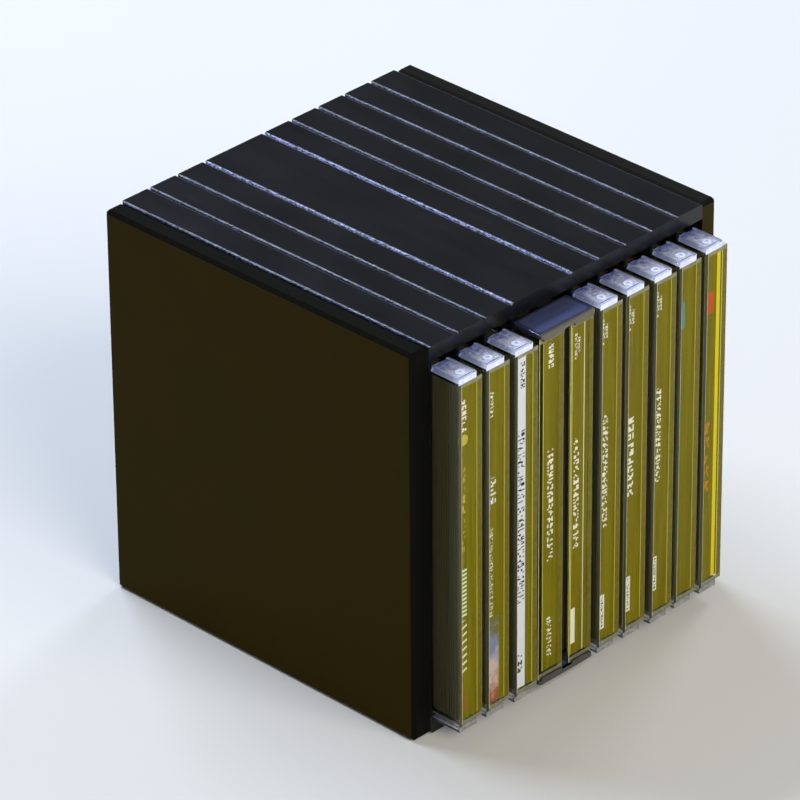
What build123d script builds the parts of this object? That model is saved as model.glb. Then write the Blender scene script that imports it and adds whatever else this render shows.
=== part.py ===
from build123d import *
import os

# A modular storage box for compact discs in their clear cases. Between two end panels stand
# nine slot modules: three single ones, one of double width and five more single ones. Each
# slot holds one case, with its spine standing out of the open front. Two of the cases stand a
# little further out than the rest, which are pushed home.
# Millimetres. The frame's origin is the middle of the box's base: X runs to the right along
# the row of slots, Y from the open front to the back, Z up.

# Disc
disc_diameter = 120.0
disc_thickness = 1.2
disc_hole = 15.0

# Clear walls and card, shared by the single and the double case
clear_wall = 1.2
card_thickness = 0.25
slip_gap = 0.1
rest_gap = 0.15

# Single case
case_thickness = 10.4
disc_margin = 1.3
strip_depth = 16.5
open_margin = 5.5
spine_setback = 0.3
spine_wall = 1.0
spine_left = 1.5
lid_side_reach = 4.5
split_gap = 0.2
booklet_thickness = 0.8
booklet_spare = 0.6
booklet_inset = 1.0
tab_thickness = 0.8
tab_radius = 4.0
tab_spacing = 65.0

# Hinge arms of a lid
arm_length = 12.4
arm_thickness = 1.9
arm_short = 2.1
arm_gap = 0.3
arm_corner = 1.0
arm_border = 0.9
arm_recess = 0.5
arm_rib_height = 0.3
arm_rib_width = 0.32
arm_rib_pitch = 0.66
pivot_x = 4.2
pivot_y = 3.6
pivot_boss_radius = 1.6
pivot_pin_radius = 1.2
pivot_running_gap = 0.1
pivot_dimple_radius = 0.6
pivot_dimple_depth = 0.4

# Disc trays
tray_clearance = 0.2
tray_rim_gap = 0.4
tray_wall = 1.3
tray_disc_gap = 0.8
seat_height = 1.0
seat_radius = 17.0
hub_clearance = 0.15
hub_bore_radius = 4.6
hub_stand = 0.7
hub_slit = 0.8
hub_slit_count = 4
strip_rib_height = 0.4
strip_rib_width = 0.5
strip_rib_pitch = 1.0
strip_floor = 0.7
strip_width = 11.0

# Double case
double_thickness = 24.0
cap_thickness = 1.5
cap_lip_drop = 0.9
cap_lip_depth = 0.9
cap_notch_width = 4.6
cover_setback = 1.0
cover_side_gap = 0.4
spine_gap = 3.2
spine_gap_shift = 0.45
front_label_start = 2.6
label_end_gap = 1.5
bar_setback = 3.4
bar_depth = 2.0
bar_side_gap = 0.4
double_booklet_thickness = 1.6
double_pivot_x = 5.0
swing_tray_floor = 1.2
swing_seat_height = 0.4
swing_rim_stand = 0.6
rear_tray_depth = 7.7
rear_tray_recess = 3.4

# Fit of a case in its slot
case_show = 11.1
forward_cases = (3, 7)
forward_by = 0.5
rear_clearance = 0.2
under_clearance = 0.3
headroom = 2.4
side_clearance = 0.3
double_side_clearance = 0.6

# Slot modules
side_wall = 1.0
back_wall = 1.0
floor_wall = 4.4
roof_wall = 5.2
outer_skin = 1.6
slot_skin = 1.2
edge_round = 1.1
core_count = 9
core_rib = 1.5
core_end = 2.0
singles_left = 3
singles_right = 5

# Pegs and sockets that line the modules up
peg_radius = 1.2
peg_gap = 0.1
peg_length = 2.6
peg_root = 0.6
socket_spare = 0.4

# End panels
left_panel_width = 7.3
right_panel_width = 6.6
panel_chamfer = 1.2
panel_rim = 6.0
panel_skin = 2.2
panel_rib = 1.5
panel_cells = 9
liner_thickness = 1.6
liner_gap = 0.1

# Sizes that follow from the ones above
case_height = disc_diameter + 2 * disc_margin + 2 * clear_wall
case_depth = strip_depth + disc_diameter + open_margin
single_width = side_wall + 2 * side_clearance + case_thickness
double_width = side_wall + 2 * double_side_clearance + double_thickness
slot_height = under_clearance + case_height + headroom
slot_depth = case_depth - case_show + rear_clearance
box_height = floor_wall + slot_height + roof_wall
box_depth = slot_depth + back_wall
slot_widths = [single_width] * singles_left + [double_width] + [single_width] * singles_right
box_width = left_panel_width + sum(slot_widths) + right_panel_width
hinge_zone = arm_length + arm_gap
arm_seat = arm_thickness + slip_gap
cap_seat = cap_thickness + slip_gap
booklet_front = clear_wall + rest_gap
label_depth = spine_wall + slip_gap / 2
tray_start_depth = label_depth + card_thickness + slip_gap
far_label_back = case_depth - clear_wall - slip_gap / 2
tray_back_y = far_label_back - card_thickness - slip_gap
tray_low = arm_seat + clear_wall + tray_clearance
disc_y = strip_depth + disc_diameter / 2
disc_z = case_height / 2
core_length = (box_depth - 2 * core_end - (core_count - 1) * core_rib) / core_count
core_starts = [core_end + i * (core_length + core_rib) for i in range(core_count)]
boss_cores = (1, core_count - 2)
peg_places = [
    (core_starts[i] + core_length / 2, z)
    for i in boss_cores
    for z in (floor_wall / 2, box_height - roof_wall / 2)
]


def block(x0, x1, y0, y1, z0, z1):
    """A box between two X, two Y and two Z places."""
    middle = Pos((x0 + x1) / 2, (y0 + y1) / 2, (z0 + z1) / 2)
    return middle * Box(x1 - x0, y1 - y0, z1 - z0)


def rod_x(radius, x0, x1, y, z):
    """A round rod along X."""
    return Pos((x0 + x1) / 2, y, z) * Rot(0, 90, 0) * Cylinder(radius, x1 - x0)


def rod_z(radius, x, y, z0, z1):
    """A round rod along Z."""
    return Pos(x, y, (z0 + z1) / 2) * Cylinder(radius, z1 - z0)


def both_ends(shape):
    """A shape at the low end of a case, and its mirror image at the top end."""
    return [shape, mirror(shape, about=Plane.XY.offset(case_height / 2))]


def right_to_left(shape):
    """The mirror image of a shape through the middle of the double case's thickness."""
    return mirror(shape, about=Plane.YZ.offset(double_thickness / 2))


def hinge_arm():
    """The low hinge arm of a lid: a ribbed field in a raised border, a boss and a pivot pin."""
    reach = case_thickness - arm_short
    plate = block(0, reach, 0, arm_length, 0, arm_thickness)
    far_edges = plate.edges().filter_by(Axis.Z).sort_by(Axis.X)[-2:]
    plate = fillet(far_edges, arm_corner)
    field = block(arm_border, reach - arm_border, arm_border, arm_length, 0, arm_recess)
    plate -= field
    rib_count = int((arm_length - 2 * arm_border) / arm_rib_pitch)
    for i in range(rib_count):
        y = 2 * arm_border + i * arm_rib_pitch
        low = arm_recess - arm_rib_height
        plate += block(arm_border, reach - arm_border, y, y + arm_rib_width, low, arm_recess)
    plate += rod_z(pivot_boss_radius, pivot_x, pivot_y, 0, arm_thickness)
    plate -= rod_z(pivot_dimple_radius, pivot_x, pivot_y, 0, pivot_dimple_depth)
    plate += rod_z(pivot_pin_radius, pivot_x, pivot_y, arm_recess, arm_thickness + clear_wall)
    return plate


def booklet_tabs(front, side):
    """Two rounded tabs on the low side wall of a lid, which hold the booklet to its panel."""
    tabs = []
    middle = disc_y
    for y in (middle - tab_spacing / 2, middle + tab_spacing / 2):
        tab = rod_x(tab_radius, front, front + tab_thickness, y, side)
        tabs.append(tab & block(0, double_thickness, 0, case_depth, side / 2, case_height))
    return tabs


def case_lid():
    """Clear front cover of a single case."""
    lid = block(0, clear_wall, 0, case_depth, 0, case_height)
    lid += both_ends(hinge_arm())
    lid += both_ends(block(0, lid_side_reach, arm_length, case_depth, 0, clear_wall))
    for tab in booklet_tabs(booklet_front + booklet_thickness + rest_gap, clear_wall):
        lid += both_ends(tab)
    return lid


def case_base():
    """Clear back of a single case, with the spine wall and the stepped ends for the lid's arms."""
    inner = case_thickness - clear_wall
    side = lid_side_reach + split_gap
    step_back = hinge_zone + clear_wall
    base = block(inner, case_thickness, spine_setback, case_depth, 0, case_height)
    base -= both_ends(block(0, case_thickness, 0, hinge_zone, 0, arm_seat))
    spine_back = spine_setback + spine_wall
    base += block(spine_left, inner, spine_setback, spine_back, arm_seat, case_height - arm_seat)
    base += both_ends(
        block(spine_left, inner, spine_setback, step_back, arm_seat, arm_seat + clear_wall)
    )
    base += both_ends(block(side, inner, hinge_zone, step_back, 0, arm_seat + clear_wall))
    base += both_ends(block(side, inner, hinge_zone, case_depth, 0, clear_wall))
    base += block(side, inner, case_depth - clear_wall, case_depth, 0, case_height)
    bore_radius = pivot_pin_radius + pivot_running_gap
    bore_top = arm_seat + clear_wall + slip_gap
    base -= both_ends(rod_z(bore_radius, pivot_x, pivot_y, 0, bore_top))
    return base


def disc_hub(front, back):
    """A toothed ring that grips the disc's hole, slit so that its teeth can give."""
    radius = disc_hole / 2 - hub_clearance
    hub = rod_x(radius, front, back, disc_y, disc_z)
    hub -= rod_x(hub_bore_radius, front, back, disc_y, disc_z)
    slit = Box(2 * (back - front), 2 * disc_hole, hub_slit)
    for i in range(hub_slit_count):
        turn = Rot(i * 180 / hub_slit_count, 0, 0)
        hub -= Pos(front, disc_y, disc_z) * turn * slit
    return hub


def disc_tray(front, back, floor_front, start):
    """A tray with a round recess that the disc's rim overhangs at the two ends of the case.

    Its corners are hollow from behind, and so is the space behind a floor that stands forward.
    """
    tray_high = case_height - tray_low
    recess_radius = disc_diameter / 2 + tray_disc_gap
    floor_back = floor_front + tray_wall
    tray = block(front, back, start, tray_back_y, tray_low, tray_high)
    corners = block(
        front + tray_wall, back,
        start + tray_wall, tray_back_y - tray_wall,
        tray_low + tray_wall, tray_high - tray_wall,
    )
    corners -= rod_x(recess_radius + tray_wall, front, back, disc_y, disc_z)
    tray -= corners
    tray -= rod_x(recess_radius, front, floor_front, disc_y, disc_z)
    if back - floor_back > slip_gap:
        tray -= rod_x(recess_radius, floor_back, back, disc_y, disc_z)
    tray += rod_x(seat_radius, floor_front - seat_height, floor_front, disc_y, disc_z)
    disc_front = floor_front - seat_height - disc_thickness
    tray -= rod_x(hub_bore_radius, disc_front - hub_stand, back, disc_y, disc_z)
    tray += disc_hub(disc_front - hub_stand, floor_front - seat_height)
    return tray


def ribbed_strip(front, back, start):
    """The dark strip beside the spine, with fine ribs along its height."""
    high = case_height - tray_low
    strip = block(front, back, start, start + strip_width, tray_low, high)
    rib_count = int((strip_width - strip_rib_width) / strip_rib_pitch) + 1
    for i in range(rib_count):
        y = start + i * strip_rib_pitch
        rib_front = front - strip_rib_height
        strip += block(rib_front, front, y, y + strip_rib_width, tray_low, high)
    return strip


def compact_disc(front):
    """A disc with its round hole, its face at a given place along X."""
    disc = rod_x(disc_diameter / 2, front, front + disc_thickness, disc_y, disc_z)
    return disc - rod_x(disc_hole / 2, front, front + disc_thickness, disc_y, disc_z)


def booklet(thickness):
    """The booklet behind a lid's panel."""
    height = disc_diameter + booklet_spare
    low = (case_height - height) / 2
    start = strip_depth + booklet_inset
    back = booklet_front + thickness
    return block(booklet_front, back, start, start + height, low, low + height)


def inlay_card(sheet_front, spine_low, far_low, start):
    """The card behind a tray, its two edges folded forward as the spine labels."""
    high = case_height - tray_low
    sheet_back = sheet_front + card_thickness
    card = block(sheet_front, sheet_back, start, far_label_back, tray_low, high)
    card += block(spine_low, sheet_back, start, start + card_thickness, tray_low, high)
    fold = far_label_back - card_thickness
    card += block(far_low, sheet_back, fold, far_label_back, tray_low, high)
    return card


def single_case():
    """The five pieces of a single case, in the case's own frame."""
    sheet_front = case_thickness - clear_wall - slip_gap - card_thickness
    tray_back = sheet_front - rest_gap
    floor_front = tray_back - tray_wall
    tab_back = booklet_front + booklet_thickness + rest_gap + tab_thickness
    tray_front = tab_back + tray_rim_gap
    strip_front = clear_wall + strip_floor
    tray_start = spine_setback + tray_start_depth
    tray = disc_tray(tray_front, tray_back, floor_front, tray_start)
    tray += ribbed_strip(strip_front, tray_front, tray_start)
    label_low = spine_left + tray_clearance
    far_low = lid_side_reach + split_gap + rest_gap
    cards = Compound([
        booklet(booklet_thickness),
        inlay_card(sheet_front, label_low, far_low, spine_setback + label_depth),
    ])
    return {
        "lid": case_lid(),
        "base": case_base(),
        "tray": tray,
        "disc": compact_disc(floor_front - seat_height - disc_thickness),
        "cards": cards,
    }


def double_cover(spine_reach):
    """One clear cover of the double case, with its half of the sides and its spine wall."""
    side_reach = double_thickness / 2 - cover_side_gap / 2
    step_back = hinge_zone + clear_wall
    front = cover_setback
    cover = block(0, clear_wall, front, case_depth, 0, case_height)
    cover -= both_ends(block(0, clear_wall, 0, hinge_zone, 0, cap_seat))
    cover += block(0, spine_reach, front, front + spine_wall, cap_seat, case_height - cap_seat)
    cover += both_ends(block(0, spine_reach, front, step_back, cap_seat, cap_seat + clear_wall))
    cover += both_ends(block(0, spine_reach, hinge_zone, step_back, 0, cap_seat + clear_wall))
    cover += both_ends(block(0, side_reach, hinge_zone, case_depth, 0, clear_wall))
    cover += block(0, side_reach, case_depth - clear_wall, case_depth, 0, case_height)
    bore_radius = pivot_pin_radius + pivot_running_gap
    bore_top = cap_seat + clear_wall + slip_gap
    cover -= both_ends(rod_z(bore_radius, double_pivot_x, pivot_y, 0, bore_top))
    return cover


def double_frame():
    """Smoky end caps over the whole thickness, joined by the bar between the two spines."""
    middle = double_thickness / 2 + spine_gap_shift
    cap = block(0, double_thickness, 0, arm_length, 0, cap_thickness)
    cap = fillet(cap.edges().filter_by(Axis.Z), arm_corner)
    lip_top = cap_thickness + cap_lip_drop
    notch = cap_notch_width / 2
    cap += block(arm_corner, double_thickness - arm_corner, 0, cap_lip_depth, 0, lip_top)
    cap -= block(middle - notch, middle + notch, 0, cap_lip_depth, cap_thickness, lip_top)
    for x in (double_pivot_x, double_thickness - double_pivot_x):
        cap += rod_z(pivot_pin_radius, x, pivot_y, cap_thickness / 2, cap_thickness + clear_wall)
    half_bar = spine_gap / 2 - bar_side_gap
    bar_back = bar_setback + bar_depth
    low = cap_thickness / 2
    bar = block(middle - half_bar, middle + half_bar, bar_setback, bar_back, low, case_height - low)
    frame = bar
    frame += both_ends(cap)
    return frame


def swing_tray(low_limit, high_limit, start):
    """The two-sided tray that hinges on the frame's bar and holds a disc on each face.

    It stands midway between the booklet's tabs and the rear tray.
    """
    side = swing_rim_stand + disc_thickness + swing_seat_height
    front = (low_limit + high_limit - swing_tray_floor) / 2 - side
    floor_front = front + side
    floor_back = floor_front + swing_tray_floor
    back = floor_back + side
    low = cap_seat + clear_wall + tray_clearance
    recess_radius = disc_diameter / 2 + tray_disc_gap
    tray = block(front, back, start, tray_back_y, low, case_height - low)
    tray -= rod_x(recess_radius, front, floor_front, disc_y, disc_z)
    tray -= rod_x(recess_radius, floor_back, back, disc_y, disc_z)
    seat_front = floor_front - swing_seat_height
    seat_back = floor_back + swing_seat_height
    tray += rod_x(seat_radius, seat_front, seat_back, disc_y, disc_z)
    tray -= rod_x(hub_bore_radius, front, back, disc_y, disc_z)
    tray += disc_hub(seat_front - disc_thickness, seat_front)
    tray += disc_hub(seat_back, seat_back + disc_thickness)
    return tray, seat_front - disc_thickness, seat_back


def double_case():
    """The pieces of the double case, in the case's own frame."""
    front_reach = (double_thickness - spine_gap) / 2 + spine_gap_shift
    rear_reach = (double_thickness - spine_gap) / 2 - spine_gap_shift
    tab_front = booklet_front + double_booklet_thickness + rest_gap
    front_cover = double_cover(front_reach)
    for tab in booklet_tabs(tab_front, clear_wall):
        front_cover += both_ends(tab)
    rear_cover = right_to_left(double_cover(rear_reach))
    sheet_front = double_thickness - clear_wall - slip_gap - card_thickness
    rear_tray_front = sheet_front - rest_gap - rear_tray_depth
    rear_floor = rear_tray_front + rear_tray_recess
    tray_start = bar_setback + bar_depth + tray_clearance
    rear_tray = disc_tray(rear_tray_front, sheet_front - rest_gap, rear_floor, tray_start)
    tab_back = tab_front + tab_thickness
    tray, first_disc, second_disc = swing_tray(tab_back, rear_tray_front, tray_start)
    label_start = cover_setback + label_depth
    label_back = label_start + card_thickness
    label_high = front_reach - label_end_gap
    tray_high = case_height - tray_low
    cards = Compound([
        booklet(double_booklet_thickness),
        block(front_label_start, label_high, label_start, label_back, tray_low, tray_high),
        inlay_card(
            sheet_front,
            double_thickness - rear_reach + clear_wall,
            double_thickness / 2 + cover_side_gap,
            label_start,
        ),
    ])
    return {
        "front_cover": front_cover,
        "rear_cover": rear_cover,
        "frame": double_frame(),
        "swing_tray": tray,
        "rear_tray": rear_tray,
        "swing_discs": Compound([compact_disc(first_disc), compact_disc(second_disc)]),
        "rear_disc": compact_disc(rear_floor - seat_height - disc_thickness),
        "cards": cards,
    }


def slot_module(width):
    """One slot: a side wall on its left, a floor, a roof and a back, open on its right.

    The floor and the roof are cored from the open side, and the next piece closes them.
    """
    module = block(0, width, 0, box_depth, 0, box_height)
    long_edges = module.edges().filter_by(Axis.Y)
    back_edges = module.edges().filter_by(Axis.Z).sort_by(Axis.Y)[-2:]
    module = fillet(long_edges + back_edges, edge_round)
    module -= block(side_wall, width, 0, slot_depth, floor_wall, floor_wall + slot_height)
    core_heights = (
        (outer_skin, floor_wall - slot_skin),
        (box_height - roof_wall + slot_skin, box_height - outer_skin),
    )
    for i, start in enumerate(core_starts):
        if i in boss_cores:
            continue
        for low, high in core_heights:
            module -= block(side_wall, width, start, start + core_length, low, high)
    for y, z in peg_places:
        module += rod_x(peg_radius, -peg_length, peg_root, y, z)
        module -= socket(width, y, z)
    return module


def socket(face, y, z):
    """The hole for a peg, sunk into a piece from its right face."""
    return rod_x(peg_radius + peg_gap, face - peg_length - socket_spare, face, y, z)


def panel_slab(width, inner_face):
    """A chamfered slab. Its inner front edge stays sharp, to meet the modules' fronts."""
    slab = block(0, width, 0, box_depth, 0, box_height)
    sharp = slab.edges().filter_by(Axis.Z).sort_by(Axis.Y)[:2]
    sharp = sharp.filter_by_position(Axis.X, inner_face, inner_face)
    edges = [edge for edge in slab.edges() if edge not in sharp]
    return chamfer(edges, panel_chamfer)


def panel_cores(start, end):
    """A grid of square cores between the X places, which leaves the ribs of an end panel."""
    cores = []
    span_y = box_depth - 2 * panel_rim
    span_z = box_height - 2 * panel_rim
    cell_y = (span_y - (panel_cells - 1) * panel_rib) / panel_cells
    cell_z = (span_z - (panel_cells - 1) * panel_rib) / panel_cells
    for i in range(panel_cells):
        for j in range(panel_cells):
            y = panel_rim + i * (cell_y + panel_rib)
            z = panel_rim + j * (cell_z + panel_rib)
            cores.append(block(start, end, y, y + cell_y, z, z + cell_z))
    return cores


def left_end_panel():
    """Left end panel, cored from the side that the first module closes."""
    panel = panel_slab(left_panel_width, left_panel_width)
    panel -= panel_cores(panel_skin, left_panel_width)
    for y, z in peg_places:
        panel -= socket(left_panel_width, y, z)
    return panel


def right_end_panel():
    """Right end panel, with the rebate for its liner and the pegs for the last module."""
    panel = panel_slab(right_panel_width, 0)
    panel -= panel_cores(0, right_panel_width - panel_skin)
    rim = panel_rim - liner_gap
    panel -= block(0, liner_thickness, rim, box_depth - rim, rim, box_height - rim)
    for y, z in peg_places:
        panel += rod_x(peg_radius, -peg_length, peg_root, y, z)
    return panel


def right_panel_liner():
    """The flat sheet that closes the right panel's cores and the last slot."""
    rim = panel_rim
    return block(0, liner_thickness, rim, box_depth - rim, rim, box_height - rim)


def write_node(name, shape, x, y, z):
    """Move a piece from its own frame into the box's frame and write its file."""
    shape = Pos(x - box_width / 2, y - box_depth / 2, z) * shape
    shape.label = name
    export_step(shape, "parts/" + name + ".step")


def write_case(prefix, pieces, x, show):
    """Write the pieces of a case in its slot: X from the box's left face, and its stand-out."""
    for name, shape in pieces.items():
        write_node(prefix + "_" + name, shape, x, -show, floor_wall + under_clearance)


def main():
    os.makedirs("parts", exist_ok=True)
    write_node("left_end_panel", left_end_panel(), 0, 0, 0)
    single_module = slot_module(single_width)
    double_module = slot_module(double_width)
    single_pieces = single_case()
    double_pieces = double_case()
    x = left_panel_width
    for number, width in enumerate(slot_widths, start=1):
        show = case_show
        if number in forward_cases:
            show += forward_by
        if number == singles_left + 1:
            case_x = x + side_wall + double_side_clearance
            write_node("double_slot_module", double_module, x, 0, 0)
            write_case("double_case", double_pieces, case_x, show)
        else:
            case_x = x + side_wall + side_clearance
            write_node("slot_module_" + str(number), single_module, x, 0, 0)
            write_case("case_" + str(number), single_pieces, case_x, show)
        x += width
    write_node("right_end_panel", right_end_panel(), x, 0, 0)
    write_node("right_panel_liner", right_panel_liner(), x, 0, 0)
    print("box", box_width, box_depth, box_height)
    print("case", case_thickness, case_depth, case_height)


main()
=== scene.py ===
import math

import bmesh
import bpy
from mathutils import Matrix, Vector


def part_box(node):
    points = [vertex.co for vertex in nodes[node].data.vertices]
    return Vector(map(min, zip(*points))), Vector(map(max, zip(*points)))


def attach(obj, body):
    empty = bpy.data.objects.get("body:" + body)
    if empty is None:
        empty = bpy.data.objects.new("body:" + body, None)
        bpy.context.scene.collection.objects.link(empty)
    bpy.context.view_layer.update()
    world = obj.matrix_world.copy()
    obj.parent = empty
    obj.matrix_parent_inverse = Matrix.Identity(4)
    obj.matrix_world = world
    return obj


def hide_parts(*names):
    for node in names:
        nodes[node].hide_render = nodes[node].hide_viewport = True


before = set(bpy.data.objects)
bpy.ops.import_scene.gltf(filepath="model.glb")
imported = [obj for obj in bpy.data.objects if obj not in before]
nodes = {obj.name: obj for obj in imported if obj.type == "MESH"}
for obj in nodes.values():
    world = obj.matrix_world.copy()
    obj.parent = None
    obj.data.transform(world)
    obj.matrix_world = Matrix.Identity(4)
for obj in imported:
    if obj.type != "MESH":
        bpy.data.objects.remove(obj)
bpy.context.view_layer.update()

MM = 0.001
WHITE = (1, 1, 1, 1)
ACROSS = (1, 0, 0)
UP = (0, 0, 1)

# The single cases, by their place in the box. The double case stands in the fourth.
SINGLES = [1, 2, 3, 5, 6, 7, 8, 9]

# A lid's hinge arms: the rim round the recessed field on each, the field's ribs, and the open
# ring round its pivot, whose opening is in radians to each side.
ARM_LENGTH = 12.4 * MM
ARM_WIDTH = 8.3 * MM
ARM_HEIGHT = 1.9 * MM
RIM = 0.9 * MM
RECESS = 0.5 * MM
RIB_TOP = 0.3 * MM
RIB_COUNT = 21
RIB_PITCH = 0.5 * MM
RIB_RADIUS = 0.13 * MM
RIB_DEPTH = 0.4 * MM
FIRST_RIB = 1.96 * MM
PIVOT = (4.2 * MM, 3.6 * MM)
RING_RADIUS = 1.15 * MM
RING_THICKNESS = 0.2 * MM
RING_OPENING = 0.5
RING_DEPTH = 0.12 * MM

# How a moulded shape is cleaned: points within SAME_POINT become one, edges that turn less
# than FLAT go, and edges that turn more than SHARP are rounded, by the widths below.
SAME_POINT = 0.002 * MM
ON_PLANE = 0.0001 * MM
FLAT = math.radians(1)
SHARP = math.radians(35)
LID_ROUNDING = 0.1 * MM
BASE_ROUNDING = 0.14 * MM
CAP_ROUNDING = 0.2 * MM

# Lengths that differ by less than NEAR are taken as one, and a face looks along an axis if its
# normal has more than SQUARE_ON along it.
NEAR = 0.01 * MM
SQUARE_ON = 0.9

# The finishes on a lid, and on a clear base or cover, as places in its list of materials.
ARM_RIM, ARM_FIELD, LOW_ARM, PAINTED_LIGHT_EDGE = 1, 2, 3, 4
GLOWING_EDGE, SHADE_AND_REFLECTION_SIDE, HIGHLIGHT_CORNER, PAST_LABEL = 1, 2, 3, 4

# Places on a case, in millimetres from its left face, its front and its bottom: the label's
# two ends, how deep the spine's wall goes, the base's bare edge and the side of its wall, and
# on the booklet's cover the rows of signs and the band.
LABEL_ENDS = (3.4, 121.6)
SPINE_DEPTH = 2.2
BASE_EDGE = (8.3, 10.5)
WALL_SIDE = (1.4, 1.7)
BEHIND_SPINE = 8.0
COVER_LINES = (28.0, 110.0, 18.0, 40.0)
COVER_BAND = (84.0, 104.0)

# A disc's grey middle and its tracks, in millimetres
HUB_RADIUS = 22.0
TRACK_PITCH = 0.5


def corner(node):
    """The left front bottom corner of a node."""
    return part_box(node)[0]


# Node trees

def put(tree, socket, value):
    """Link a value to a socket, or write a plain number or colour on it."""
    if isinstance(value, Val):
        tree.links.new(value.socket, socket)
    else:
        socket.default_value = value


class Val:
    """A socket in a node tree. Arithmetic on it, and comparing it, adds Math nodes."""

    def __init__(self, tree, socket):
        self.tree = tree
        self.socket = socket

    def math(self, operation, *values):
        node = self.tree.nodes.new("ShaderNodeMath")
        node.operation = operation
        for slot, value in zip(node.inputs, values):
            put(self.tree, slot, value)
        return Val(self.tree, node.outputs[0])

    def __add__(self, other):
        return self.math("ADD", self, other)

    def __radd__(self, other):
        return self.math("ADD", other, self)

    def __sub__(self, other):
        return self.math("SUBTRACT", self, other)

    def __rsub__(self, other):
        return self.math("SUBTRACT", other, self)

    def __mul__(self, other):
        return self.math("MULTIPLY", self, other)

    def __rmul__(self, other):
        return self.math("MULTIPLY", other, self)

    def __truediv__(self, other):
        return self.math("DIVIDE", self, other)

    def __rtruediv__(self, other):
        return self.math("DIVIDE", other, self)

    def __mod__(self, other):
        return self.math("FLOORED_MODULO", self, other)

    def __gt__(self, other):
        return self.math("GREATER_THAN", self, other)

    def __lt__(self, other):
        return self.math("LESS_THAN", self, other)

    def floor(self):
        return self.math("FLOOR", self)

    def absolute(self):
        return self.math("ABSOLUTE", self)

    def root(self):
        return self.math("SQRT", self)

    def most(self, other):
        """The larger of the value and another."""
        return self.math("MAXIMUM", self, other)

    def clamped(self):
        """The value held between 0 and 1."""
        return self.math("MINIMUM", self.most(0.0), 1.0)

    def between(self, low, high):
        """1 where the value lies between two numbers, else 0."""
        return (self > low) * (self < high)


class Node:
    """A node that has been made. Its outputs are read by name."""

    def __init__(self, tree, node):
        self.tree = tree
        self.node = node

    def __getitem__(self, name):
        return Val(self.tree, self.node.outputs[name])


class Tree:
    """A node tree that is being built."""

    def __init__(self, tree):
        self.tree = tree

    def node(self, kind, settings=None, inputs=None):
        """Make a node of a kind: its settings first, then the values or links of its sockets."""
        node = self.tree.nodes.new(kind)
        for key, value in (settings or {}).items():
            setattr(node, key, value)
        for key, value in (inputs or {}).items():
            put(self.tree, node.inputs[key], value)
        return Node(self.tree, node)

    def ramp(self, value, stops):
        """A colour ramp over a value: a list of places and colours."""
        made = self.node("ShaderNodeValToRGB", None, {0: value})
        ramp = made.node.color_ramp
        for index, (place, colour) in enumerate(stops):
            stop = ramp.elements[index] if index < 2 else ramp.elements.new(place)
            stop.position = place
            stop.color = colour
        return made["Color"]

    def blend(self, factor, first, second):
        """A mix of two colours."""
        inputs = {0: factor, 6: first, 7: second}
        made = self.node("ShaderNodeMix", {"data_type": "RGBA"}, inputs)
        return Val(self.tree, made.node.outputs[2])


def shade(red, green, blue):
    """A linear colour from the 0 to 255 numbers of a screen colour."""
    out = []
    for part in (red, green, blue):
        part /= 255
        out.append(part / 12.92 if part <= 0.04045 else ((part + 0.055) / 1.055) ** 2.4)
    return (*out, 1.0)


class Finish(Tree):
    """A material that is being built, with the coordinates that its patterns read."""

    def __init__(self, name):
        self.material = bpy.data.materials.new(name)
        self.material.use_nodes = True
        super().__init__(self.material.node_tree)
        self.tree.nodes.clear()
        self.place = self.node("ShaderNodeTexCoord")["Object"]

    def axes(self, origin):
        """X, Y and Z in millimetres from a point."""
        split = self.node("ShaderNodeSeparateXYZ", None, {0: self.place})
        return [(split[axis] - low) * (1 / MM) for axis, low in zip("XYZ", origin)]

    def noise(self, size_mm, detail=2.0, rough=0.5, stretch=(1, 1, 1)):
        """A noise between 0 and 1, whose spots are a size in millimetres."""
        place = self.place
        if stretch != (1, 1, 1):
            place = self.node("ShaderNodeMapping", None, {0: place, "Scale": stretch})["Vector"]
        return self.node("ShaderNodeTexNoise", {"noise_dimensions": "3D"}, {
            "Vector": place, "Scale": 1 / (size_mm * MM), "Detail": detail, "Roughness": rough,
        })["Fac"]

    def tone(self, colour, strength):
        """A colour made darker or lighter: plain numbers, or a value in the tree."""
        if not isinstance(colour, Val):
            return (*(strength * part for part in colour[:3]), 1.0)
        inputs = {0: colour, "Scale": strength}
        made = self.node("ShaderNodeVectorMath", {"operation": "SCALE"}, inputs)
        return Val(self.tree, made.node.outputs[0])

    def bump(self, height, depth_mm):
        """A normal from a height of 0 to 1 that stands for a depth in millimetres."""
        inputs = {"Height": height, "Distance": depth_mm * MM, "Strength": 1.0}
        return self.node("ShaderNodeBump", None, inputs)["Normal"]

    def shader(self, **values):
        """The plastic or card shader. Underscores in a name stand for spaces."""
        inputs = {key.replace("_", " "): value for key, value in values.items()}
        return self.node("ShaderNodeBsdfPrincipled", None, inputs)["BSDF"]

    def lets_lamps_in(self, solid, tint):
        """A clear wall: solid to the eye, while light for what is behind it passes straight."""
        path = self.node("ShaderNodeLightPath")
        open_way = path["Is Shadow Ray"].most(path["Is Diffuse Ray"])
        clear = self.node("ShaderNodeBsdfTransparent", None, {"Color": tint})["BSDF"]
        return self.node("ShaderNodeMixShader", None, {0: open_way, 1: solid, 2: clear})["Shader"]

    def done(self, surface):
        self.node("ShaderNodeOutputMaterial", None, {"Surface": surface})
        return self.material


# Finishes

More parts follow.
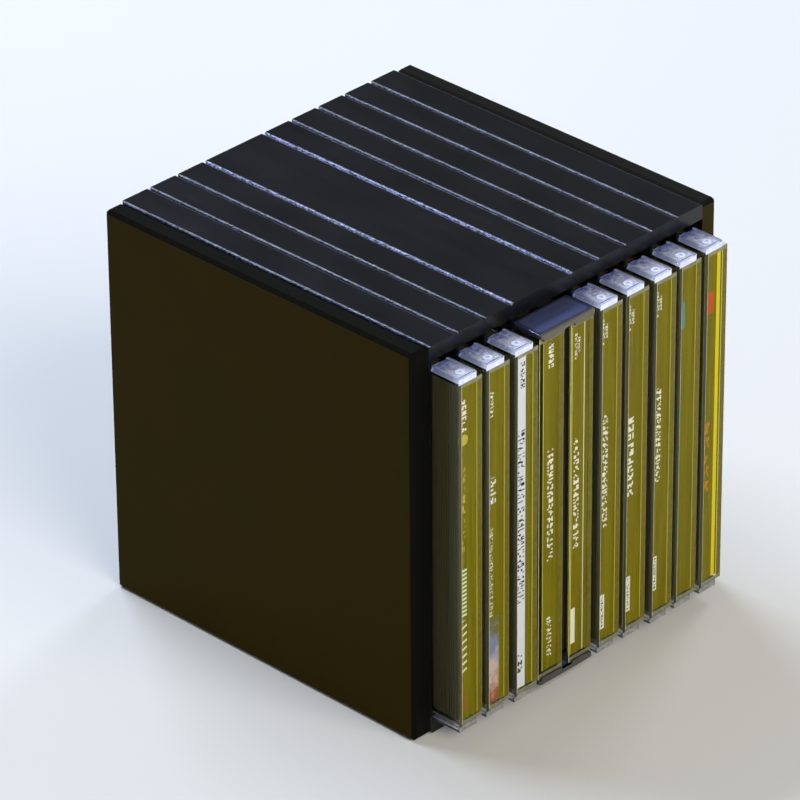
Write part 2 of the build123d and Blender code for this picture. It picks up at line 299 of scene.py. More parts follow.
def black_plastic(name, colour, roughness, sheen_level, edge_nick=0.0, sheen_tint=WHITE,
                  other_faces=None, painted_reflection_way=("X", -1), wear_and_highlight=None, seam=None):
    """Moulded black plastic: fine spark grain, faint handling marks and nicked round edges.

    edge_nick is how deep the nicks are, in millimetres. other_faces is the colour of all
    faces but those that look along painted_reflection_way, which take the colour given as a painted
    yellow reflection. worn is the blue-white colour painted in spots on the rounded edges, partly
    wear and partly a painted highlight, and how much of them it covers. seam is the X of the
    groove by the next piece, where a near-black strip is painted shade."""
    f = Finish(name)
    grain = f.noise(0.35, 3.0, 0.6)
    cloud = f.noise(28.0, 2.0, 0.5)
    rub = f.noise(6.0, 4.0, 0.65, (1, 0.15, 1))
    normal = f.node("ShaderNodeNewGeometry")["Normal"]
    facing = f.node("ShaderNodeSeparateXYZ", None, {0: normal})
    side, level = facing["X"].absolute(), facing["Z"].absolute()
    # Faces that look along painted_reflection_way take the warm colour: a painted yellow reflection
    if other_faces:
        axis, sign = painted_reflection_way
        colour = f.blend(facing[axis] * sign > SQUARE_ON, other_faces, colour)
    paint = f.blend(grain * 0.6 + cloud * 0.4, f.tone(colour, 0.75), f.tone(colour, 1.28))
    # 1 on the roundings between a side and the top or bottom
    edge = (side * level * 2.4).clamped()
    nick = f.noise(0.9, 2.0, 0.55, (1, 0.7, 1)) * edge * edge_nick
    # Spots on the rounded edges: partly wear, partly a painted highlight of the cool rear light
    if wear_and_highlight:
        wear_highlight_colour, share = wear_and_highlight
        contrast = 5.0
        spots = f.noise(0.5, 3.0, 0.7, (1, 0.45, 1)) * contrast - contrast * (1 - share)
        paint = f.blend(spots.clamped() * edge, paint, wear_highlight_colour)
    # A near-black strip along the groove by the next piece: painted shade
    if seam is not None:
        groove_shade = f.axes((seam, 0, 0))[0].absolute() < 0.5
        paint = f.blend(groove_shade * (level > 0.5), paint, shade(1, 1, 1))
    height = grain * 0.010 + rub * 0.004 + nick
    rough = roughness + (cloud - 0.5) * 0.08 + (rub - 0.5) * 0.10 + edge * 0.05
    surface = f.shader(
        Base_Color=paint, Roughness=rough, Normal=f.bump(height, 1.0),
        IOR=1.5, Specular_IOR_Level=sheen_level, Specular_Tint=sheen_tint,
    )
    return f.done(surface)


def tray_finish(name):
    """Satin black plastic of a disc tray, painted olive-grey as a painted yellow reflection."""
    f = Finish(name)
    grain = f.noise(0.5, 2.0, 0.5)
    paint = f.blend(grain, shade(70, 67, 45), shade(90, 87, 61))
    surface = f.shader(
        Base_Color=paint, Roughness=0.32 + grain * 0.1, Normal=f.bump(grain, 0.006),
        Specular_IOR_Level=0.15,
    )
    return f.done(surface)


def clear_finish(name, tint, bending, sheen_tint):
    """Clear case plastic with fine scuffs. bending is how much it turns the light."""
    f = Finish(name)
    scuff = f.noise(1.2, 5.0, 0.7, (1, 1, 0.12))
    haze = f.ramp(scuff, [(0.45, (0.02, 0.02, 0.02, 1)), (0.75, (0.10, 0.10, 0.10, 1))])
    solid = f.shader(
        Base_Color=tint, Roughness=haze, Normal=f.bump(scuff, 0.002),
        IOR=bending, Transmission_Weight=1.0, Specular_Tint=sheen_tint,
    )
    return f.done(f.lets_lamps_in(solid, (0.92, 0.92, 0.92, 1)))


def frosted_finish(name, low, high, through, fade=0.0, sheen_tint=WHITE):
    """Clear plastic where its moulded grain or its edges scatter the light.

    low and high are its darkest and lightest colours, laid in blotches as painted highlight
    and shade, and through is how much light passes. fade is how much painted shade darkens
    the field of an arm from its front to its back."""
    f = Finish(name)
    cloud = f.noise(1.6, 3.0, 0.6)
    speck = f.noise(0.45, 2.0, 0.6)
    _, y, _ = f.axes(corner("case_1_lid"))
    # The blotches from low to high are painted highlight and shade; fade adds painted shade toward
    # the back.
    glow = (cloud * 1.1 + speck * 0.7 - 0.4 + (0.42 - y / (ARM_LENGTH / MM)) * fade).clamped()
    solid = f.shader(
        Base_Color=f.blend(glow, low, high), Roughness=0.06 + cloud * 0.12,
        Normal=f.bump(cloud * 0.02 + speck * 0.01, 1.0),
        IOR=1.5, Transmission_Weight=through, Specular_Tint=sheen_tint,
    )
    return f.done(f.lets_lamps_in(solid, (0.75, 0.77, 0.82, 1)))


def smoky_finish(name, origin):
    """Smoke-grey translucent plastic of the double case's end caps.

    Each cap has a raised panel with round corners, painted lighter as a painted sheen, a lip
    along its front, painted olive on the top cap as a painted yellow reflection, and dark parts
    that run between the two caps."""
    f = Finish(name)
    x, y, z = f.axes(origin)
    cloud = f.noise(2.5, 3.0, 0.6)

    def smoke(low, high):
        return f.blend(cloud, shade(*low), shade(*high))

    # The panel's outline: how far a place lies past a rectangle round the cap's middle
    past_x = ((x - 12.0).absolute() - 9.2).most(0.0)
    past_y = ((y - 6.75).absolute() - 3.3).most(0.0)
    edge = (past_x * past_x + past_y * past_y).root() - 1.5
    panel = (0.5 - edge * 3.0).clamped()
    lip = (1.5 - y).clamped()
    # The top cap's lip is painted olive as a painted yellow reflection, and the raised panel
    # painted lighter as a painted sheen.
    low_lip, top_lip_reflection = smoke((52, 52, 50), (88, 88, 84)), smoke((92, 88, 66), (116, 110, 84))
    paint = f.blend(panel, smoke((50, 54, 76), (68, 73, 104)), smoke((72, 78, 110), (90, 97, 136)))
    paint = f.blend(lip, paint, f.blend(z > 60.0, low_lip, top_lip_reflection))
    paint = f.blend(z.between(4.0, 121.0), paint, smoke((14, 14, 16), (24, 24, 26)))
    surface = f.shader(
        Base_Color=paint, Roughness=0.07 + cloud * 0.08,
        Normal=f.bump(panel * 0.03 + cloud * 0.01, 1.0),
        Transmission_Weight=0.3, IOR=1.5, Specular_IOR_Level=0.5,
    )
    return f.done(surface)


def disc_finish(name, centre):
    """Silver disc with fine tracks round a grey hub."""
    f = Finish(name)
    _, y, z = f.axes(centre)
    radius = (y * y + z * z).root()
    track = f.noise(0.9, 1.0, 0.5)
    silver = f.blend(track, (0.62, 0.64, 0.66, 1), (0.78, 0.78, 0.76, 1))
    hub = radius < HUB_RADIUS
    paint = f.blend(hub, silver, (0.45, 0.46, 0.47, 1))
    surface = f.shader(
        Base_Color=paint, Metallic=1 - hub, Roughness=0.16 + hub * 0.1,
        Normal=f.bump((radius % TRACK_PITCH) * (1 / TRACK_PITCH), 0.002),
    )
    return f.done(surface)


# Printed cards

# The labels' olive: black card painted olive as a painted yellow reflection.
OLIVE = shade(126, 116, 0)
INK = {
    "white": (0.90, 0.90, 1.0, 1.0), "cream": shade(205, 186, 96), "green": (0.72, 0.88, 0.76, 1.0),
    "dim_green": shade(96, 124, 34), "orange": shade(196, 88, 30), "amber": shade(196, 132, 20),
    "sky": shade(136, 146, 214), "teal": shade(104, 144, 160), "dark": shade(52, 52, 42),
    "brick": shade(160, 92, 70), "lilac": shade(214, 190, 214), "haze": shade(116, 110, 60),
    # The inks "line" and "glint" are painted highlights, not print.
    "line": shade(214, 204, 84), "glint": (0.90, 0.90, 0.96, 1.0), "leaf": shade(74, 88, 30),
    "yellow": shade(232, 214, 40), "paper": (0.84, 0.85, 0.93, 1.0),
}


def block(f, across, up, box):
    """A filled patch."""
    left, right, low, high = box
    return across.between(left, right) * up.between(low, high)


def dot(f, across, up, box):
    """A filled circle: its place across, its height and its radius."""
    middle, height, radius = box
    x = across - middle
    z = up - height
    return (x * x + z * z).root() < radius


def bars(f, across, up, box, pitch, share, slant=0.0):
    """Bars across the spine, repeated along it. share is how much of the pitch they fill."""
    left, right, low, high = box
    part = (up - low - (across - left) * slant) % pitch < pitch * share
    return part * across.between(left, right) * up.between(low, high)


def word(f, across, up, box, pitch, seed, rows=4, share=0.52):
    """A row of made-up signs along the spine: small random cells, which spell nothing."""
    left, right, low, high = box
    column = ((up - low) / (pitch / rows)).floor()
    row = ((across - left) / ((right - left) / rows)).floor()
    cell = f.node("ShaderNodeCombineXYZ", None, {0: column + seed * 37.0, 1: row, 2: 0.0})
    speck = f.node("ShaderNodeTexWhiteNoise", {"noise_dimensions": "3D"}, {
        "Vector": cell["Vector"],
    })["Value"]
    sign = (up - low) % pitch < pitch * (rows - 1) / rows
    return (speck < share) * sign * block(f, across, up, box)


MASKS = {"block": block, "dot": dot, "bars": bars, "word": word, "fade": block}


def card_finish(name, origin, marks, cover):
    """The cards of a case: the spine label with its marks, the booklet's cover and the back.

    marks are drawn in turn. cover is the colours of the booklet's field and of its band."""
    f = Finish(name)
    x, y, z = f.axes(origin)
    fibre = f.noise(0.6, 3.0, 0.6)
    cloud = f.noise(5.0, 4.0, 0.6)
    streak = f.noise(0.9, 2.0, 0.5, (1, 1, 0.03))
    light = (fibre * 0.3 + streak * 0.7 - 0.28).clamped() * 2.3
    paint = f.blend(light.clamped(), f.tone(OLIVE, 0.66), f.tone(OLIVE, 1.26))
    for kind, ink, box, *rest in marks:
        if kind == "fade":
            low, high = box[2:]
            rise = (z - low) / (high - low) + (cloud - 0.5) * 0.9
            colour = f.ramp(rise, [(at, INK[stop]) for at, stop in ink])
        else:
            colour = INK[ink]
        paint = f.blend(MASKS[kind](f, x, z, box, *rest), paint, colour)
    field, band = cover
    lines = word(f, y, z, COVER_LINES, 3.2, 5.0, 4, 0.5)
    inner = f.blend(z.between(*COVER_BAND), field, band)
    inner = f.blend(lines, inner, band)
    inner = f.blend(fibre * 0.12, inner, (0.5, 0.5, 0.5, 1))
    paint = f.blend(y > BEHIND_SPINE, paint, inner)
    surface = f.shader(
        Base_Color=paint, Roughness=0.42, Normal=f.bump(fibre, 0.004), Specular_IOR_Level=0.05,
    )
    return f.done(surface)


# Pieces

def plain_mesh(obj, name):
    """The mesh of an object with its modifiers applied, as a mesh of its own."""
    bpy.context.view_layer.update()
    shape = obj.evaluated_get(bpy.context.evaluated_depsgraph_get())
    mesh = bpy.data.meshes.new_from_object(shape)
    mesh.name = name
    return mesh


def softened(node, width, level=None, cuts=()):
    """A merged copy of a moulded node with its edges rounded as moulding leaves them.

    level moves the tops of small ribs back to the face that carries them. cuts are the
    points and directions of planes where a finish ends inside a face."""
    bm = bmesh.new()
    bm.from_mesh(nodes[node].data)
    bmesh.ops.remove_doubles(bm, verts=bm.verts, dist=SAME_POINT)
    if level:
        for vert in bm.verts:
            level(vert)
        bmesh.ops.remove_doubles(bm, verts=bm.verts, dist=SAME_POINT)
    bmesh.ops.dissolve_limit(bm, angle_limit=FLAT, verts=bm.verts, edges=bm.edges)
    for at, way in cuts:
        parts = bm.verts[:] + bm.edges[:] + bm.faces[:]
        bmesh.ops.bisect_plane(bm, geom=parts, dist=ON_PLANE, plane_co=at, plane_no=way)
    for face in bm.faces:
        face.smooth = True
    mesh = bpy.data.meshes.new(node + "_soft")
    bm.to_mesh(mesh)
    bm.free()
    for attribute in ("custom_normal", "sharp_edge", "sharp_face"):
        if attribute in mesh.attributes:
            mesh.attributes.remove(mesh.attributes[attribute])
    work = bpy.data.objects.new("work", mesh)
    bpy.context.scene.collection.objects.link(work)
    bevel = work.modifiers.new("edge", "BEVEL")
    bevel.width = width
    bevel.segments = 2
    bevel.limit_method = "ANGLE"
    bevel.angle_limit = SHARP
    bevel.use_clamp_overlap = False
    bevel.harden_normals = True
    out = plain_mesh(work, node + "_rounded")
    bpy.data.objects.remove(work)
    out.materials.clear()
    return out


def place(mesh, name, body, slot, finishes, *replaced):
    """Put a finished mesh in the scene as a piece of a body, in place of its CAD nodes."""
    obj = bpy.data.objects.new(name, mesh)
    bpy.context.scene.collection.objects.link(obj)
    for finish in finishes:
        mesh.materials.append(finish)
    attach(obj, body)
    if replaced:
        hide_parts(*replaced)


def moved(mesh, shift):
    """A copy of a mesh, moved."""
    out = mesh.copy()
    out.transform(Matrix.Translation(shift))
    return out


# The object's finishes, and the nodes that keep their own shapes
# A warm sheen tint on both clear plastics, and a yellow tint in the base's, are a painted yellow
# reflection.
clear = clear_finish("clear_lid_plastic", (0.88, 0.89, 0.84, 1), 1.12, (1, 0.94, 0.66, 1))
warm_clear = clear_finish("clear_base_plastic", (0.90, 0.89, 0.60, 1), 1.12, (1, 0.95, 0.4, 1))
# The arms are painted with light: blue-white for the cool light from above, painted highlights in
# blotches and on the ribs, painted shade in the field and toward the back, and a warmer grey on the
# low arms as lit from the floor.
frosted = frosted_finish(
    "frosted_arm_plastic", shade(160, 172, 232), shade(246, 250, 255), 0.12, 0.6,
)
frosted_rib = frosted_finish(
    "frosted_rib_plastic", shade(80, 90, 150), shade(250, 252, 255), 0.1, 0.9,
)
frosted_field = frosted_finish(
    "frosted_field_plastic", shade(18, 24, 60), shade(118, 130, 204), 0.2, 1.0,
)
frosted_low = frosted_finish(
    "frosted_low_plastic", shade(96, 96, 80), shade(206, 208, 204), 0.5,
)
# An olive glow painted where light gathers in a spine's front edge, with a painted yellow
# reflection in its sheen.
edge_glow = frosted_finish(
    "edge_glow_plastic", shade(78, 70, 0), shade(122, 110, 6), 0.2, 0.0, (1, 0.88, 0.25, 1),
)
# A side face by the label: painted shade, warmed by a painted yellow reflection.
side_shade_and_reflection = frosted_finish(
    "edge_dark_plastic", shade(58, 52, 0), shade(84, 76, 6), 0.0, 0.0, (1, 0.88, 0.25, 1),
)
# A painted highlight on the bevelled front corners of a spine.
edge_highlight = frosted_finish(
    "edge_line_plastic", shade(176, 170, 70), shade(250, 248, 180), 0.2,
)
# Pale painted glints on the front faces past the label's ends.
end_glint = frosted_finish(
    "frosted_end_plastic", shade(110, 108, 60), shade(196, 194, 150), 0.5,
)
# A lid's front edge: a painted yellow reflection on case 1, painted shade on the cases that stand
# between others.
yellow_lit_edge = frosted_finish("outer_edge_plastic", shade(54, 51, 30), shade(74, 70, 45), 0.1)
shaded_front_edge = frosted_finish("lid_edge_plastic", shade(20, 19, 11), shade(36, 34, 21), 0.1)
# The pivot rings are near-white: a painted highlight.
frosted_bright = frosted_finish(
    "frosted_ring_plastic", shade(222, 228, 250), shade(250, 251, 255), 0.25,
)
smoky = smoky_finish("smoky_cap_plastic", corner("double_case_frame"))
# The trays are painted olive-grey: a painted yellow reflection seen through the clear lids
tray_black = tray_finish("tray_black")
# The modules' rounded edges carry blue-white spots: partly wear, partly a painted highlight of the
# cool rear light, brighter on the double's module and the fifth.
module_black = black_plastic(
    "module_black", shade(9, 9, 9), 0.25, 0.38, 0.3, wear_and_highlight=(shade(96, 108, 182), 0.46),
)
strong_wear_highlight_black = black_plastic(
    "rubbed_module_black", shade(9, 9, 9), 0.25, 0.38, 0.3, wear_and_highlight=(shade(160, 171, 226), 0.56),
)
# The end panels: faces that look left, and the right panel's front, are painted warm brown with a
# warm sheen as a painted yellow reflection; their other faces are black. The right panel also has a
# near-black strip of painted shade in the groove by the last module.
panel_black = black_plastic(
    "panel_black", shade(43, 34, 0), 0.45, 0.03, sheen_tint=(1, 0.8, 0.25, 1),
    other_faces=shade(13, 13, 12),
)
right_black = black_plastic(
    "right_panel_black", shade(44, 36, 4), 0.42, 0.05, sheen_tint=(1, 0.85, 0.45, 1),
    other_faces=shade(21, 21, 18), painted_reflection_way=("Y", -1), seam=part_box("slot_module_9")[1].x,
)

for name, obj in nodes.items():
    if name in ("double_slot_module", "slot_module_5"):
        finish = strong_wear_highlight_black
    elif "module" in name or name == "right_panel_liner":
        finish = module_black
    elif name == "right_end_panel":
        finish = right_black
    elif "panel" in name:
        finish = panel_black
    elif "tray" in name:
        finish = tray_black
    else:
        continue
    obj.material_slots[0].material = finish


def grown(name, group, **values):
    """The plain mesh that a Geometry Nodes tree makes from its named inputs."""
    work = bpy.data.objects.new("work", bpy.data.meshes.new("work"))
    bpy.context.scene.collection.objects.link(work)
    modifier = work.modifiers.new("grow", "NODES")
    modifier.node_group = group
    for item in group.interface.items_tree:
        if item.in_out == "INPUT" and item.name in values:
            modifier[item.identifier] = values[item.name]
    out = plain_mesh(work, name)
    bpy.data.objects.remove(work)
    return out


def group_of(name, inputs):
    """A Geometry Nodes tree with named inputs: its builder and its input values."""
    group = bpy.data.node_groups.new(name, "GeometryNodeTree")
    group.is_modifier = True
    group.interface.new_socket(name="Geometry", in_out="OUTPUT", socket_type="NodeSocketGeometry")
    for label, kind in inputs.items():
        group.interface.new_socket(name=label, in_out="INPUT", socket_type="NodeSocket" + kind)
    tree = Tree(group)
    return tree, tree.node("NodeGroupInput")


def finish_group(tree, shape, material):
    """Realize the instances, set the material and send the shape out."""
    real = tree.node("GeometryNodeRealizeInstances", None, {"Geometry": shape})["Geometry"]
    painted = tree.node("GeometryNodeSetMaterial", None, {"Geometry": real, "Material": material})
    tree.node("NodeGroupOutput", None, {"Geometry": painted["Geometry"]})
    return tree.tree


def arm_ribs_group():
    """Fine round ribs across the fields of a lid's two hinge arms."""
    tree, given = group_of("arm_ribs", {
        "Count": "Int", "Start": "Vector", "Pitch": "Vector", "Reach": "Vector", "Rise": "Vector",
        "Radius": "Float", "Material": "Material",
    })
    line = tree.node("GeometryNodeMeshLine", {"mode": "OFFSET"}, {
        "Count": given["Count"], "Start Location": given["Start"], "Offset": given["Pitch"],
    })
    bar = tree.node("GeometryNodeCurvePrimitiveLine", None, {"End": given["Reach"]})
    section = tree.node("GeometryNodeCurvePrimitiveCircle", None, {
        "Resolution": 8, "Radius": given["Radius"],
    })
    rib = tree.node("GeometryNodeCurveToMesh", None, {
        "Curve": bar["Curve"], "Profile Curve": section["Curve"], "Fill Caps": True,
    })
    row = tree.node("GeometryNodeInstanceOnPoints", None, {
        "Points": line["Mesh"], "Instance": rib["Mesh"],
    })["Instances"]
    high = tree.node("GeometryNodeTransform", None, {"Geometry": row, "Translation": given["Rise"]})
    both = tree.node("GeometryNodeJoinGeometry", None, {"Geometry": row})
    put(tree.tree, both.node.inputs["Geometry"], high["Geometry"])
    return finish_group(tree, both["Geometry"], given["Material"])


def pivot_rings_group():
    """The open moulded rings round a lid's two pivots."""
    tree, given = group_of("pivot_rings", {
        "Start": "Vector", "Rise": "Vector", "Radius": "Float", "Thickness": "Float",
        "Open": "Float", "Material": "Material",
    })
    line = tree.node("GeometryNodeMeshLine", {"mode": "OFFSET"}, {
        "Count": 2, "Start Location": given["Start"], "Offset": given["Rise"],
    })
    arc = tree.node("GeometryNodeCurveArc", {"mode": "RADIUS"}, {
        "Resolution": 18, "Radius": given["Radius"], "Start Angle": given["Open"],
        "Sweep Angle": math.tau - given["Open"] * 2,
    })
    section = tree.node("GeometryNodeCurvePrimitiveCircle", None, {
        "Resolution": 8, "Radius": given["Thickness"],
    })
    ring = tree.node("GeometryNodeCurveToMesh", None, {
        "Curve": arc["Curve"], "Profile Curve": section["Curve"], "Fill Caps": True,
    })
    rings = tree.node("GeometryNodeInstanceOnPoints", None, {
        "Points": line["Mesh"], "Instance": ring["Mesh"],
    })["Instances"]
    return finish_group(tree, rings, given["Material"])


lid_low, lid_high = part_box("case_1_lid")
lid_height = lid_high.z - lid_low.z


def level_ribs(vert):
    """Press the arms' ribs back into the floor of their field, with a little slack round it."""
    x, y, z = vert.co - lid_low
    if RIM * 0.98 < x < ARM_WIDTH - RIM * 0.98 and RIM < y < ARM_LENGTH * 1.01:
        if abs(z - (RECESS - RIB_TOP)) < NEAR:
            vert.co.z = lid_low.z + RECESS
        elif abs(z - (lid_height - RECESS + RIB_TOP)) < NEAR:
            vert.co.z = lid_low.z + lid_height - RECESS


def frost_arms(mesh):
    """Give a lid's faces their finishes: its hinge arms, and its front edge and the low arms'
    outer sides, which carry painted shade on most cases and a painted yellow reflection on case 1.
    """
    for face in mesh.polygons:
        x, y, z = face.center - lid_low
        depth = min(z, lid_height - z)
        if depth < ARM_HEIGHT * 1.05 and y < ARM_LENGTH and x < ARM_WIDTH * 1.01:
            if z < lid_height / 2:
                outer_side = face.normal.x < -SQUARE_ON
                face.material_index = PAINTED_LIGHT_EDGE if outer_side else LOW_ARM
            elif abs(depth - RECESS) < 2 * NEAR and abs(face.normal.z) > SQUARE_ON:
                face.material_index = ARM_FIELD
            else:
                face.material_index = ARM_RIM
        elif y < 1.0 * MM and face.normal.y < -0.5:
            face.material_index = PAINTED_LIGHT_EDGE


def edge_finishes(mesh, low, glowing, dark=()):
    """Give the faces at a clear cover's front their finishes.

    glowing and dark are spans across the spine, in millimetres: where light gathers in the
    front edge, painted as an olive glow, and where a side face takes painted shade warmed by a
    painted yellow reflection. The bevelled front corners take a painted highlight, and the
    front faces past the label's ends take painted glints."""
    for face in mesh.polygons:
        x, y, z = (face.center - low) / MM
        side, front, _ = face.normal
        to_front = front < -0.3
        if y > SPINE_DEPTH:
            continue
        if to_front and abs(side) > 0.3:
            face.material_index = HIGHLIGHT_CORNER
        elif to_front and not LABEL_ENDS[0] < z < LABEL_ENDS[1]:
            face.material_index = PAST_LABEL
        elif to_front and any(a < x < b for a, b in glowing):
            face.material_index = GLOWING_EDGE
        elif side < -0.5 and any(a < x < b for a, b in dark):
            face.material_index = SHADE_AND_REFLECTION_SIDE


def cuts_at(low, across):
    """Cutting planes at places across a spine and at its label's ends, in millimetres."""
    planes = [(low + Vector((at * MM, 0, 0)), ACROSS) for at in across]
    return planes + [(low + Vector((0, 0, at * MM)), UP) for at in LABEL_ENDS]


arm_ends = [(Vector((0, 0, at)), UP) for at in (lid_low.z + ARM_HEIGHT, lid_high.z - ARM_HEIGHT)]
lid_shape = softened("case_1_lid", LID_ROUNDING, level_ribs, arm_ends)
frost_arms(lid_shape)
base_shape = softened("case_1_base", BASE_ROUNDING, cuts=cuts_at(lid_low, BASE_EDGE[:1]))
edge_finishes(base_shape, lid_low, [BASE_EDGE], [WALL_SIDE])
rib_shape = grown(
    "arm_ribs", arm_ribs_group(), Count=RIB_COUNT, Radius=RIB_RADIUS, Material=frosted_rib,
    Start=lid_low + Vector((RIM, FIRST_RIB, RIB_DEPTH)), Pitch=(0, RIB_PITCH, 0),
    Reach=(ARM_WIDTH - 2 * RIM, 0, 0), Rise=(0, 0, lid_height - 2 * RIB_DEPTH),
)
ring_shape = grown(
    "pivot_rings", pivot_rings_group(), Radius=RING_RADIUS, Thickness=RING_THICKNESS,
    Open=RING_OPENING, Start=lid_low + Vector((*PIVOT, RING_DEPTH)),
    Rise=(0, 0, lid_height - 2 * RING_DEPTH), Material=frosted_bright,
)

arm_set = [clear, frosted, frosted_field, frosted_low, shaded_front_edge]
outer_arm_set = [*arm_set[:4], yellow_lit_edge]
edge_set = [warm_clear, edge_glow, side_shade_and_reflection, edge_highlight, end_glint]
white_card_set = [clear, *edge_set[1:]]
for number in SINGLES:
    body = "case_%d" % number
    shift = corner(body + "_lid") - lid_low
    lid_set = outer_arm_set if number == 1 else arm_set
    base_set = white_card_set if number == 3 else edge_set
    for shape, piece, finishes, *replaced in (
        (lid_shape, "_clear_lid", lid_set, body + "_lid"),
        (base_shape, "_clear_base", base_set, body + "_base"),
        (rib_shape, "_arm_ribs", []),
        (ring_shape, "_pivot_rings", []),
    ):
        place(moved(shape, shift), body + piece, body, "clear_plastic", finishes, *replaced)

# The double case: where light gathers in the front edges of its two covers.
double_low = corner("double_case_frame")
SPINE_EDGES = {"front_cover": [(8.55, 10.9)], "rear_cover": [(14.0, 14.4), (22.0, 24.1)]}
for part, edges in SPINE_EDGES.items():
    node = "double_case_" + part
    cuts = cuts_at(double_low, [at for edge in edges for at in edge])
    shape = softened(node, BASE_ROUNDING, cuts=cuts)
    edge_finishes(shape, double_low, edges)
    place(shape, "double_case_clear_" + part, "double_case", "clear_plastic", edge_set, node)
shape = softened("double_case_frame", CAP_ROUNDING)
place(shape, "double_case_caps", "double_case", "smoky_plastic", [smoky], "double_case_frame")

# Marks on each spine: kind, ink, place, and what the kind asks for. The place is from left to
# right and from low to high. With each case's marks go the colours of its booklet's cover.
SMALL_LINES = [
    ("word", "white", (2.3, 3.3, 109.6, 118.6), 1.15, 11),
    ("word", "white", (3.6, 4.6, 111.6, 116.6), 1.15, 12),
]
# Thin lines along each label's long edges: painted highlights where the case's edges catch the
# light.
HIGHLIGHT_LINES = [
    ("block", "line", (8.8, 9.12, *LABEL_ENDS)),
    ("block", "line", (1.7, 1.86, *LABEL_ENDS)),
]
SOFT_PATCH = [(0.1, "brick"), (0.36, "lilac"), (0.64, "sky"), (0.95, "haze")]
DESIGNS = {
    1: ([
        ("word", "white", (2.1, 4.4, 105.6, 116.7), 1.9, 1, 4, 0.62),
        ("dot", "cream", (3.2, 102.6, 1.9)),
        ("word", "cream", (2.6, 3.9, 62.7, 93.0), 3.6, 2, 4, 0.4),
        ("bars", "green", (1.9, 4.5, 40.4, 57.6), 1.45, 0.55),
        ("bars", "green", (1.9, 4.5, 20.0, 39.0), 2.6, 0.34, 0.35),
        ("word", "brick", (2.2, 4.6, 6.5, 12.5), 2.2, 27, 4, 0.5),
    ], (shade(40, 44, 52), shade(150, 90, 40))),
    2: ([
        ("word", "white", (2.8, 4.4, 105.5, 114.5), 1.3, 3, 4, 0.42),
        ("word", "sky", (1.8, 3.0, 73.0, 86.0), 2.6, 4, 4, 0.5),
        ("word", "white", (3.0, 5.3, 74.9, 84.1), 3.0, 5, 4, 0.56),
        ("word", "white", (2.6, 4.0, 34.6, 66.6), 1.1, 6, 4, 0.36),
        ("fade", SOFT_PATCH, (1.7, 6.6, 3.4, 34.0)),
    ], (shade(60, 80, 100), shade(190, 150, 120))),
    3: ([
        ("block", "paper", (1.7, 5.8, *LABEL_ENDS)),
        ("word", "dark", (3.6, 5.4, 110.3, 119.6), 1.9, 7, 4, 0.5),
        ("word", "dark", (2.4, 5.4, 34.3, 95.6), 1.6, 8, 4, 0.34),
        ("word", "leaf", (2.0, 4.6, 9.0, 16.0), 2.4, 9, 4, 0.55),
    ], (shade(196, 196, 188), shade(90, 100, 70))),
    5: ([
        *SMALL_LINES,
        ("word", "white", (2.9, 5.2, 43.6, 84.5), 2.1, 13, 4, 0.5),
        ("block", "white", (2.4, 4.4, 7.1, 19.6)),
        ("word", "dark", (2.9, 3.9, 7.8, 19.0), 1.2, 14, 4, 0.5),
    ], (shade(30, 32, 40), shade(140, 140, 150))),
    6: ([
        *SMALL_LINES,
        ("word", "white", (2.6, 5.1, 50.3, 78.4), 2.9, 15, 4, 0.62),
        ("block", "white", (2.3, 4.3, 8.1, 20.9)),
        ("word", "dark", (2.8, 3.8, 8.8, 20.3), 1.2, 16, 4, 0.5),
    ], (shade(90, 40, 36), shade(170, 160, 140))),
    7: ([
        *SMALL_LINES,
        ("word", "white", (2.8, 5.0, 50.3, 84.1), 2.1, 17, 4, 0.5),
        ("block", "white", (2.2, 4.1, 10.6, 23.1)),
        ("word", "dark", (2.7, 3.7, 11.2, 22.5), 1.2, 18, 4, 0.5),
    ], (shade(44, 60, 50), shade(180, 170, 120))),
    8: ([
        ("block", "teal", (1.7, 4.0, 100.4, 109.7)),
        ("bars", "dim_green", (1.9, 3.4, 22.0, 82.0), 6.7, 0.42),
    ], (shade(36, 44, 70), shade(110, 130, 150))),
    9: ([
        ("block", "orange", (1.7, 5.5, 100.4, 108.1)),
        ("word", "amber", (2.3, 4.6, 36.0, 63.5), 5.3, 20, 4, 0.45),
        ("block", "yellow", (6.6, 8.2, *LABEL_ENDS)),
    ], (shade(46, 34, 26), shade(122, 92, 48))),
}
for number, (marks, cover) in DESIGNS.items():
    body = "case_%d" % number
    finish = card_finish(body + "_print", corner(body + "_lid"), marks + HIGHLIGHT_LINES, cover)
    nodes[body + "_cards"].material_slots[0].material = finish

DOUBLE_MARKS = [
    ("word", "white", (4.9, 7.2, 111.0, 119.6), 1.7, 21, 4, 0.64),
    ("word", "white", (4.6, 7.2, 42.6, 82.2), 2.3, 22, 4, 0.55),
    ("word", "white", (4.6, 6.8, 7.8, 22.1), 1.5, 23, 4, 0.4),
    ("word", "white", (16.6, 17.7, 109.4, 118.6), 1.15, 24),
    ("word", "white", (18.0, 19.0, 111.4, 116.6), 1.15, 25),
    ("word", "white", (16.4, 18.8, 42.0, 81.3), 2.3, 26, 4, 0.52),
    ("block", "white", (15.6, 17.5, 7.4, 20.2)),
    # Thin lines along the double's spine edges: painted highlights.
    ("block", "line", (15.3, 15.6, *LABEL_ENDS)),
    ("block", "glint", (20.75, 21.05, *LABEL_ENDS)),
    ("block", "line", (2.6, 2.8, *LABEL_ENDS)),
]
DOUBLE_COVER = (shade(28, 34, 44), shade(120, 126, 140))
finish = card_finish("double_case_print", double_low, DOUBLE_MARKS, DOUBLE_COVER)
nodes["double_case_cards"].material_slots[0].material = finish

for name, obj in nodes.items():
    if name.endswith("disc") or name.endswith("discs"):
        low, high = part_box(name)
        obj.material_slots[0].material = disc_finish(name + "_silver", (low + high) / 2)


# Stage

MIDDLE = Vector((0.0, 0.0, 0.07))


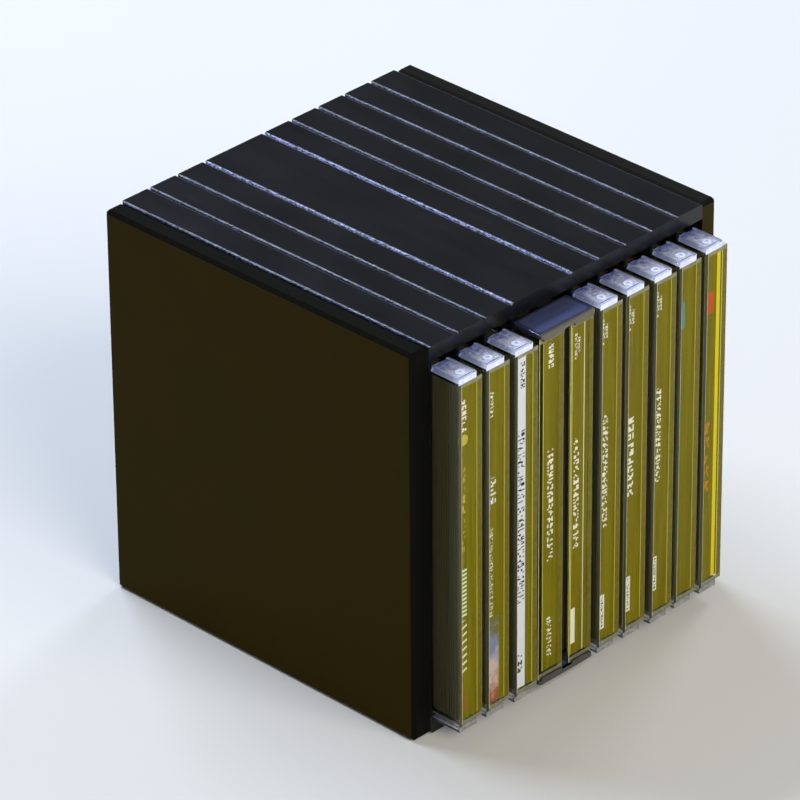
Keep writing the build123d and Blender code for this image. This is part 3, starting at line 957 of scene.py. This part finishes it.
def floor_finish():
    """Plain pale paper."""
    f = Finish("floor_paper")
    cloud = f.noise(400.0, 2.0, 0.5)
    paint = f.blend(cloud, (0.75, 0.735, 0.68, 1), (0.78, 0.765, 0.71, 1))
    return f.done(f.shader(Base_Color=paint, Roughness=0.9, Specular_IOR_Level=0.1))


def make_floor():
    """A round floor, 12 metres from its middle to its rim."""
    bm = bmesh.new()
    bmesh.ops.create_circle(bm, cap_ends=True, segments=64, radius=12.0)
    mesh = bpy.data.meshes.new("floor")
    bm.to_mesh(mesh)
    bm.free()
    mesh.materials.append(floor_finish())
    floor = bpy.data.objects.new("floor", mesh)
    bpy.context.scene.collection.objects.link(floor)


def area_lamp(name, place_at, size, power, colour):
    """A soft lamp that points at the middle of the box."""
    lamp = bpy.data.lights.new(name, "AREA")
    lamp.shape = "RECTANGLE"
    lamp.size, lamp.size_y = size
    lamp.energy = power
    lamp.color = colour
    obj = bpy.data.objects.new(name, lamp)
    obj.location = place_at
    obj.rotation_euler = (MIDDLE - Vector(place_at)).to_track_quat("-Z", "Y").to_euler()
    bpy.context.scene.collection.objects.link(obj)


def make_world():
    """Pale studio walls near the horizon, with a dimmer ceiling."""
    world = bpy.data.worlds.new("studio")
    world.use_nodes = True
    tree = Tree(world.node_tree)
    world.node_tree.nodes.clear()
    way = tree.node("ShaderNodeTexCoord")["Generated"]
    height = tree.node("ShaderNodeSeparateXYZ", None, {0: way})["Z"]
    wall, ceiling = (0.85, 0.85, 0.85, 1), (0.095, 0.102, 0.13, 1)
    paint = tree.ramp(height, [(0.06, wall), (0.34, ceiling)])
    back = tree.node("ShaderNodeBackground", None, {"Color": paint, "Strength": 1.0})
    tree.node("ShaderNodeOutputWorld", None, {"Surface": back["Background"]})
    bpy.context.scene.world = world


def make_camera():
    """The photograph's viewpoint, as fitted to its corners: 46 degrees left of the front."""
    right = Vector((0.6957748, -0.7182268, -0.0069002))
    down = Vector((-0.3677289, -0.3479484, -0.8623847))
    ahead = Vector((0.6169869, 0.6025629, -0.5062065))
    turn = Matrix((right, -down, -ahead)).transposed().to_4x4()
    lens = bpy.data.cameras.new("view")
    lens.lens = 277.024
    lens.sensor_width = 36.0
    lens.clip_end = 60.0
    camera = bpy.data.objects.new("view", lens)
    camera.matrix_world = Matrix.Translation((-1.1990288, -1.1657048, 1.0482983)) @ turn
    bpy.context.scene.collection.objects.link(camera)
    bpy.context.scene.camera = camera


make_floor()
make_world()
make_camera()
# A wide lamp in front, a cool strip behind that draws the modules' edges, and a weak side lamp
area_lamp("key", (-0.2, -1.6, 1.2), (1.6, 1.2), 30, (1.0, 0.97, 0.91))
area_lamp("rear", (0.0, 0.92, 1.32), (1.1, 0.25), 25, (0.68, 0.78, 1.0))
area_lamp("side", (1.2, 0.35, 1.3), (0.4, 0.4), 6, (0.8, 0.86, 1.0))

bpy.context.scene.view_settings.view_transform = "Standard"
